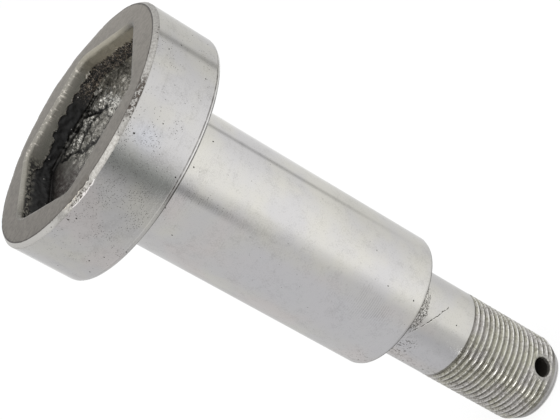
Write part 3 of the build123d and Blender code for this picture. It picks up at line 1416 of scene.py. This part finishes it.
@dataclass(frozen=True)
class TornSteel(Finish):
    """The pocket: smooth high on its walls, black where it is torn, bright and crumbled on its floor."""

    name = "torn_pocket_steel"
    floor_depth: Ramp = (7.4, 7.8)
    black: Colour = grey(0.026)
    blackest: Colour = grey(0.016)
    vein: Colour = grey(0.016)
    cut: Colour = grey(0.006)
    crack: Colour = grey(0.003)
    block: Colour = (0.13, 0.125, 0.108, 1)
    rusty: Colour = (0.165, 0.135, 0.108, 1)
    glint: Colour = (0.72, 0.70, 0.66, 1)
    rusty_glint: Colour = (0.52, 0.46, 0.38, 1)
    broken_dim: Colour = (0.24, 0.232, 0.205, 1)
    broken_pale: Colour = (0.82, 0.80, 0.74, 1)
    ridge_highlight: Colour = (0.85, 0.84, 0.79, 1)
    plate: Colour = (0.30, 0.285, 0.25, 1)
    left_floor: tuple[Colour, Colour] = ((0.060, 0.055, 0.050, 1), (0.135, 0.13, 0.118, 1))
    right_floor: tuple[Colour, Colour] = ((0.14, 0.13, 0.105, 1), (0.31, 0.29, 0.24, 1))
    pale_floor: Colour = (0.20, 0.195, 0.175, 1)
    sooty_specks: tuple[Colour, Colour] = ((0.030, 0.018, 0.017, 1), (0.30, 0.27, 0.26, 1))
    crusty_specks: tuple[Colour, Colour] = ((0.055, 0.050, 0.040, 1), (0.60, 0.57, 0.50, 1))
    wall_low: tuple[Colour, ...] = ((0.170, 0.165, 0.143, 1), (0.40, 0.36, 0.28, 1), (0.25, 0.24, 0.205, 1))
    wall_lip: tuple[Colour, ...] = ((0.255, 0.242, 0.213, 1), (0.39, 0.36, 0.285, 1), (0.34, 0.325, 0.28, 1))
    wall_shade: Colour = (0.115, 0.107, 0.092, 1)
    wall_grain: Colour = (0.24, 0.23, 0.20, 1)
    wall_scale: Colour = grey(0.02)
    torn_edge: Colour = (0.60, 0.57, 0.51, 1)
    lip_highlight: Colour = (0.66, 0.62, 0.55, 1)

    def surface(self, place: Place) -> dict[str, Any]:
        """Smooth wall, torn wall and floor, parted by the mesh's own marks.

        Args:
            place: Where a point of the pin lies.

        Returns:
            The Principled shader's sockets.
        """
        graph = place.graph
        torn = graph.mark("torn").between(0.3, 0.7)
        on_floor = self.down(place).between(*self.floor_depth)
        broken = graph.mark("shine").between(0.1, 0.7) * on_floor
        grain = place.noise(1.5, 4.0, 0.65)
        fine = place.noise(3.0, 3.0, 0.6)
        rough = graph.mix(on_floor, self.torn_wall(place, grain, fine), self.floor(place, grain, broken))
        spot = graph.warp(place.stretched(1.0, 0.5, 0.0), 0.9, 0.9)
        facets = graph.facets(spot, 1.2) * 1.1 + graph.facets(spot, 2.6) * 0.6
        height = facets * broken + (grain * 0.6 + fine * 0.4) * 0.16
        roughness = 0.38 - broken * 0.08 + torn * (1.0 - on_floor) * 0.4
        colour = graph.mix(torn, self.smooth_wall(place), rough)
        return self.metal(colour, 0.55 + broken * 0.35, roughness, height, MM)

    def torn_wall(self, place: Place, grain: Wire, fine: Wire) -> Wire:
        """The torn wall's colour: black, rusty and glinting on the right, with pale blocks high on the left.

        Args:
            place: Where a point of the pin lies.
            grain: Coarse grain from 0 to 1.
            fine: Finer grain from 0 to 1.

        Returns:
            The colour.
        """
        graph = place.graph
        right = place.x.between(3.0, 12.0)
        patches = place.noise(0.5, 2.0).between(0.50, 0.60)
        left = place.x.between(-13.0, -17.0) * self.down(place).between(4.0, 2.6)
        blocks = graph.noise(graph.warp(place.position, 1.4, 0.8), 0.55, 2.0)
        return graph.coated(
            self.black,
            (right * grain.between(0.47, 0.57), self.rusty),
            (right * fine.between(0.56, 0.60) * 0.8, self.rusty_glint),
            (right * patches * 0.6, self.blackest),
            (left * blocks.between(0.42, 0.54), self.block),
            (graph.pits(place.position, 0.8, 0.17, 0.05 + right * 0.12), self.glint),
        )

    def floor(self, place: Place, grain: Wire, broken: Wire) -> Wire:
        """The floor's colour: bright broken metal, dark veins and a painted highlight, between two smoother
        corners.

        Args:
            place: Where a point of the pin lies.
            grain: Coarse grain from 0 to 1.
            broken: How broken the floor is there, from 0 to 1.

        Returns:
            The colour.
        """
        graph, x, y = place.graph, place.x, place.y
        spot = graph.warp(place.stretched(1.0, 0.38, 0.0), 0.9, 0.9)
        veins = graph.veins(spot, 1.5)
        cells = graph.wire("ShaderNodeTexVoronoi", None, {"Vector": spot, "Scale": 1.5}, "Color")
        tone = graph.red(cells) * 0.6 + grain * 0.6 - 0.1
        cuts = graph.veins(graph.warp(place.stretched(0.42, 0.42, 0.0), 1.2, 0.8), 0.42)
        metal = graph.coated(
            self.broken_dim,
            (tone.between(0.16, 0.70), self.broken_pale),
            (graph.mark("shine").between(0.95, 0.60) * 0.55, self.plate),
            # Painted highlight: a bright strip on the right of the floor.
            (x.bump_at(9.3, 2.4) * y.between(22.0, 16.0) * 0.7, self.ridge_highlight),
            (veins.between(0.09, 0.02) * 0.7, self.vein),
            (cuts.between(0.06, 0.025) * 0.75, self.cut),
        )
        across = graph.noise(graph.vector((x + y) * 1.4, (x - y) * 0.2, 0.0), 1.0, 3.0, 0.6)
        across = across.between(0.35, 0.65)
        right = x.between(-9.0, 9.0)
        left_corner = graph.mix(across, *self.left_floor)
        right_corner = graph.mix(across, *self.right_floor)
        sooty = x.between(-9.0, -16.0).most(y.between(15.0, 5.0) * x.between(-4.0, -9.0))
        crusty = x.between(9.0, 14.0)
        specks = graph.noise(place.stretched(1.0, 0.35, 0.0), 1.1, 3.0, 0.8)
        corners = graph.coated(
            graph.mix(right, left_corner, right_corner),
            (x.within(-17.0, -8.0, -6.0, 0.0) * 0.45, self.pale_floor),
            (veins.between(0.10, 0.02) * right * 0.6, grey(0.03)),
            (specks.between(0.46, 0.54) * sooty * 0.85, self.sooty_specks[0]),
            (specks.between(0.42, 0.36) * sooty * 0.5, self.sooty_specks[1]),
            (specks.between(0.47, 0.55) * crusty * 0.4, self.crusty_specks[0]),
            (specks.between(0.46, 0.40) * crusty * 0.7, self.crusty_specks[1]),
        )
        # The crack mark also carries painted shade along the floor's left edge and in the crevice.
        return graph.coated(corners, (broken, metal), (graph.mark("crack") * 0.97, self.crack))

    def smooth_wall(self, place: Place) -> Wire:
        """The smooth wall: painted highlights at its lip and torn edge, over grey that darkens towards the
        tear.

        Args:
            place: Where a point of the pin lies.

        Returns:
            The colour.
        """
        graph, x, y, down = place.graph, place.x, place.y, self.down(place)
        left, right = x.between(-12.0, -16.0), x.between(10.0, 17.0)
        around = graph.noise(place.stretched(1.5, 1.5, 0.10), 1.0, 3.0, 0.6)
        # Painted highlights in bright stripes round the lip, strongest on the far wall.
        lip_highlights = around.between(0.53, 0.66) * (down + (around - 0.5) * 3.0).bump_at(1.1, 1.5)
        far = y.between(21.0, 24.0) * x.between(16.0, 11.0)
        grain = place.noise(1.8, 3.0, 0.6)
        low, lip = (
            graph.coated(middle, (right, right_side), (left, left_side))
            for middle, right_side, left_side in (self.wall_low, self.wall_lip)
        )
        shaded = (left * 0.4 + right * 0.15 + y.between(10.0, -2.0)).least(1.0)
        scales = graph.veins(graph.warp(place.position, 1.1, 1.6), 0.75)
        # Painted highlight: a thin pale line along the smooth wall's torn edge.
        lit = graph.mark("edge").between(0.80, 0.97) * grain.between(0.42, 0.56) * (1.0 - right * 0.6)
        return graph.coated(
            lip,
            (down.between(0.3, 3.6), low),
            (shaded * down.between(1.5, 0.7), self.wall_shade),
            (grain.between(0.35, 0.75) * (0.35 + left * 0.25), self.wall_grain),
            (left * scales.between(0.26, 0.08) * down.between(0.8, 1.6), self.wall_scale),
            (lit * 0.65, self.torn_edge),
            (lip_highlights * (0.10 + far * 0.75), self.lip_highlight),
        )


@dataclass(frozen=True)
class ThreadSteel(Finish):
    """Plated thread: pale crests over duller grooves, painted shade in roots and hole. Depths are below a
    crest.
    """

    name = "plated_thread_steel"
    grooves: tuple[Colour, Colour] = ((0.40, 0.39, 0.33, 1), (0.41, 0.395, 0.38, 1))
    crests: tuple[Colour, Colour] = ((0.50, 0.49, 0.45, 1), (0.53, 0.515, 0.50, 1))
    bright_crest: Colour = (0.86, 0.85, 0.81, 1)
    soot_and_shade: Colour = (0.06, 0.055, 0.045, 1)
    stain: Colour = (0.15, 0.14, 0.11, 1)
    worn_spot: Colour = (0.07, 0.062, 0.045, 1)
    foot_line: Colour = (0.12, 0.11, 0.10, 1)
    smooth_end: Colour = (0.55, 0.54, 0.53, 1)
    hole_shade: Colour = (0.055, 0.05, 0.042, 1)
    crest_depth: Ramp = (0.25, 0.06)
    root_depth: Ramp = (0.65, 0.78)
    bore_depth: Ramp = (1.25, 1.60)
    smooth_heights: Ramp = (2.6, 1.8)

    def surface(self, place: Place) -> dict[str, Any]:
        """Crests, grooves and the hole, told apart by their depth.

        Args:
            place: Where a point of the pin lies.

        Returns:
            The Principled shader's sockets.
        """
        graph, angle, z, length = place.graph, place.angle, place.z, self.sizes.thread_length
        depth = self.sizes.thread_radius - place.radius
        crest = depth.between(*self.crest_depth)
        grain = place.noise(1.3, 4.0, 0.6)
        worn = place.noise(2.4, 3.0, 0.7)
        tint = place.noise(0.16, 3.0).between(0.40, 0.62)
        # Painted highlight: the crests are paler towards the right.
        bright = angle.between(35.0, 58.0) * 0.6
        top = graph.mix(bright, graph.mix(tint, *self.crests), self.bright_crest)
        # Painted shade in the grooves' roots, deeper towards both sides and where stains gather.
        sides = angle.between(-30.0, -60.0) * 0.5 + angle.between(40.0, 60.0) * 0.5
        stained_and_shaded = angle.bump_at(-13.0, 24.0)
        clean = 1.0 - angle.bump_at(21.0, 18.0) * 0.55 + stained_and_shaded * 0.25
        root = (depth + sides * 0.25 + stained_and_shaded * 0.2).between(*self.root_depth)
        root = root * (0.26 + sides + stained_and_shaded * 0.3)
        smooth = z.between(*self.smooth_heights)
        # Painted shade inside the split pin hole.
        inside = depth.between(*self.bore_depth) * z.between(0.6, 0.9)
        colour = graph.coated(
            graph.mix(tint, *self.grooves),
            (crest, top),
            (root, self.soot_and_shade),
            (grain.between(0.46, 0.66) * clean * 0.7, self.stain),
            (worn.between(0.54, 0.66) * clean * 0.6, self.worn_spot),
            (z.within(length - 0.15, length, length + 0.15, length + 0.3) * 0.7, self.foot_line),
            (smooth, self.smooth_end),
            (inside * (1.0 - smooth * 0.5), self.hole_shade),
        )
        roughness = 0.50 - crest * 0.40 + inside * 0.2
        return self.metal(colour, 0.8, roughness, grain * 0.6 + worn * 0.4, 0.00009)


@dataclass
class PhotoCamera:
    """The camera that took the photograph, as fitted to the pin's outline."""

    picture_width: float = 560.0
    focal_pixels: float = 1586.1
    sensor_width: float = 36.0
    distance: float = 410.33
    elevation: float = 23.838
    roll: float = 59.822
    target: tuple[float, float, float] = (6.494, 0.0, 93.852)

    def build(self) -> None:
        """Places the camera and makes it the scene's."""
        data = bpy.data.cameras.new("photo_camera")
        data.sensor_fit = "HORIZONTAL"
        data.sensor_width = self.sensor_width
        data.lens = self.focal_pixels * self.sensor_width / self.picture_width
        data.clip_start, data.clip_end = 0.01, 50.0
        camera = add_object("photo_camera", data)
        aim = Matrix.Translation(Vector(self.target) * MM)
        pitch = Matrix.Rotation(math.radians(90 - self.elevation), 4, "X")
        roll = Matrix.Rotation(math.radians(-self.roll), 4, "Z")
        camera.matrix_world = aim @ pitch @ Matrix.Translation((0, 0, self.distance * MM)) @ roll
        bpy.context.scene.camera = camera


@dataclass
class GraduatedCard:
    """A round card on the floor that only the metal mirrors, with tones that change round the pin.

    A point on a turned surface mirrors the floor in the direction of twice its own angle from the camera's
    side, the further out the higher it lies, so the card gives the head, shank and neck their long bands of
    light. Angles are those directions, in degrees, and tones are strengths, where 1 is white. The glint near
    the pin only reaches short rays, so that the thread's crests catch it and the roundings above them don't.
    """

    radius: float = 1500.0
    height: float = 0.4
    side_tone: float = 0.70
    window_tone: float = 1.06
    window_start: Ramp = (-4.0, 24.0)
    window_fade: Ramp = (45.0, 118.0)
    faded_tone: float = 0.84
    back: Ramp = (146.0, 178.0)
    back_lag: float = 20.0
    back_lag_angles: Ramp = (-100.0, -140.0)
    back_tone: float = 1.0
    head_reach: Ramp = (372.0, 396.0)
    head_tone: float = 0.91
    head_fade: float = 0.10
    head_fade_angles: Ramp = (30.0, 110.0)
    wedge: Ramp = (-9.0, 23.0)
    wedge_depth: float = 0.40
    broad_wedge: Span = (-95.0, -22.0, -12.0, 6.0)
    broad_wedge_depth: float = 0.17
    post: Ramp = (-8.0, 12.0)
    post_reach: Ramp = (230.0, 340.0)
    post_depth: float = 0.42
    line: Ramp = (111.2, 7.0)
    line_reach: Ramp = (100.0, 240.0)
    line_depth: float = 0.39
    neck_reach: Ramp = (112.0, 96.0)
    neck_tone: float = 0.87
    neck_dip: float = 0.12
    underside_reach: Ramp = (70.0, 30.0)
    underside_tone: float = 0.80
    low_fade_angles: Ramp = (35.0, 62.0)
    low_fade_reach: Ramp = (215.0, 165.0)
    shank_dip: Ramp = (14.0, 13.0)
    shank_dip_reach: Ramp = (330.0, 280.0)
    glint: Ramp = (-19.0, 12.5)
    glint_reach: Span = (16.0, 22.0, 55.0, 62.0)
    glint_tone: float = 5.4

    def build(self) -> None:
        """Lays the card and hides it from all but mirror rays."""
        bm = bmesh.new()
        bmesh.ops.create_circle(bm, cap_ends=True, segments=64, radius=self.radius * MM)
        bmesh.ops.translate(bm, verts=bm.verts[:], vec=(0, 0, self.height * MM))
        card = add_object("graduated_card", to_mesh(bm, "graduated_card"))
        card.data.materials.append(self.material())
        for rays in ("camera", "diffuse", "transmission", "volume_scatter", "shadow"):
            setattr(card, f"visible_{rays}", False)

    def material(self) -> bpy.types.Material:
        """The card's tones as light.

        Returns:
            The material.
        """
        material = bpy.data.materials.new("graduated_card")
        graph = Graph(material)
        place = Place.read(graph)
        angle, radius = place.angle, place.radius
        head, neck = radius.between(*self.head_reach), radius.between(*self.neck_reach)
        tone = self.side_tone + angle.between(*self.window_start) * (self.window_tone - self.side_tone)
        tone = tone - angle.between(*self.window_fade) * (self.window_tone - self.faded_tone)
        lag = angle.between(*self.back_lag_angles) * (1.0 - head) * self.back_lag
        tone = tone + (abs(angle) - lag).between(*self.back) * (self.back_tone - tone)
        wedge = angle.bump_at(*self.wedge) * self.wedge_depth
        wedge = (wedge + angle.within(*self.broad_wedge) * self.broad_wedge_depth) * head
        post = angle.bump_at(*self.post) * radius.between(*self.post_reach) * (1.0 - head)
        line = angle.bump_at(*self.line) * radius.between(*self.line_reach)
        fade = head * ((1.0 - self.head_tone) + angle.between(*self.head_fade_angles) * self.head_fade)
        dip = (1.0 - self.neck_tone) + angle.bump_at(-28.0, 34.0) * self.neck_dip
        dip = dip - angle.between(6.0, -6.0) * 0.07
        low_fade = angle.between(*self.low_fade_angles) * radius.between(*self.low_fade_reach) * 0.09
        low_fade = low_fade + angle.bump_at(*self.shank_dip) * radius.between(*self.shank_dip_reach) * 0.07
        under = radius.between(*self.underside_reach) * (1.0 - self.underside_tone)
        shank_fade = low_fade * (1.0 - neck)
        post, line, dip = post * self.post_depth, line * self.line_depth, neck * dip
        for loss in (wedge, post, line, fade, dip, shank_fade, under):
            tone = tone * (1.0 - loss)
        tone = tone + self.glint_of(place) * self.glint_tone
        glow = graph.wire("ShaderNodeEmission", None, {"Color": graph.vector(tone, tone, tone)})
        graph.node("ShaderNodeOutputMaterial", None, {"Surface": glow})
        return material

    def glint_of(self, place: Place) -> Wire:
        """The bright spot that lights the thread's crests.

        Args:
            place: Where a point of the card lies.

        Returns:
            How strong the spot is there, from 0 to 1.
        """
        length = place.graph.wire("ShaderNodeLightPath", None, None, "Ray Length") * (1 / MM)
        short = (length - place.radius * 1.2).between(-7.0, -11.0)
        return place.angle.bump_at(*self.glint) * place.radius.within(*self.glint_reach) * short


@dataclass
class Studio:
    """A pale floor, soft lamps and the card that the metal mirrors."""

    floor_size: float = 12.0
    floor_colour: float = 0.86
    floor_glow: float = 1.06
    world_colour: float = 0.80
    lamp_size: float = 1.6
    lamps_aim: tuple[float, float, float] = (0, 0, 0.08)

    def build(self) -> None:
        """Builds the floor, the world and the lamps."""
        self.build_world()
        self.build_floor()
        GraduatedCard().build()
        self.build_lamp("key_lamp", (0.55, -0.35, 0.75), 6.0)
        self.build_lamp("fill_lamp", (-0.7, -0.5, 0.6), 2.5)
        bpy.context.scene.view_settings.view_transform = "Standard"

    def build_world(self) -> None:
        """A plain world, white where the camera or the metal sees it."""
        world = bpy.data.worlds.new("studio")
        bpy.context.scene.world = world
        graph = Graph(world)
        colour = graph.mix(graph.plain_rays(), grey(self.world_colour), grey(1.0))
        back = graph.wire("ShaderNodeBackground", None, {"Color": colour})
        graph.node("ShaderNodeOutputWorld", None, {"Surface": back})

    def build_floor(self) -> None:
        """A plain floor that keeps a soft shadow and is white to the camera and the metal."""
        bm = bmesh.new()
        bmesh.ops.create_grid(bm, x_segments=1, y_segments=1, size=self.floor_size / 2)
        floor = add_object("floor", to_mesh(bm, "floor"))
        material = bpy.data.materials.new("floor")
        graph = Graph(material)
        matte = graph.wire("ShaderNodeBsdfDiffuse", None, {"Color": grey(self.floor_colour)})
        glow = graph.wire("ShaderNodeEmission", None, {"Color": grey(1.0), "Strength": self.floor_glow})
        both = graph.wire("ShaderNodeMixShader", None, {0: graph.plain_rays() * 0.8, 1: matte, 2: glow})
        graph.node("ShaderNodeOutputMaterial", None, {"Surface": both})
        floor.data.materials.append(material)

    def build_lamp(self, name: str, place: tuple[float, float, float], power: float) -> None:
        """Hangs a square soft lamp that points at the pin.

        Args:
            name: The lamp's name.
            place: Where it hangs, in metres.
            power: Its power, in watts.
        """
        data = bpy.data.lights.new(name, "AREA")
        data.shape, data.size, data.energy = "SQUARE", self.lamp_size, power
        aim = Vector(self.lamps_aim) - Vector(place)
        lamp = add_object(name, data)
        lamp.matrix_world = Matrix.Translation(place) @ aim.to_track_quat("-Z", "Y").to_matrix().to_4x4()


def main() -> None:
    """Builds the camera, the studio and the pin, and dresses the pin."""
    logging.basicConfig(level=logging.INFO, format="%(name)s: %(message)s")
    PhotoCamera().build()
    Studio().build()
    sizes = PinSizes.from_frame()
    pin = SuspensionPin(sizes).build()
    for finish in (PlatedSteel, FaceSteel, RimSteel, TornSteel, ThreadSteel):
        pin.data.materials.append(finish(sizes).material())
    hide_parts(NODE)
    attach(pin, "root")
    log.info("pin: %d faces", len(pin.data.polygons))


if __name__ == "__main__":
    main()
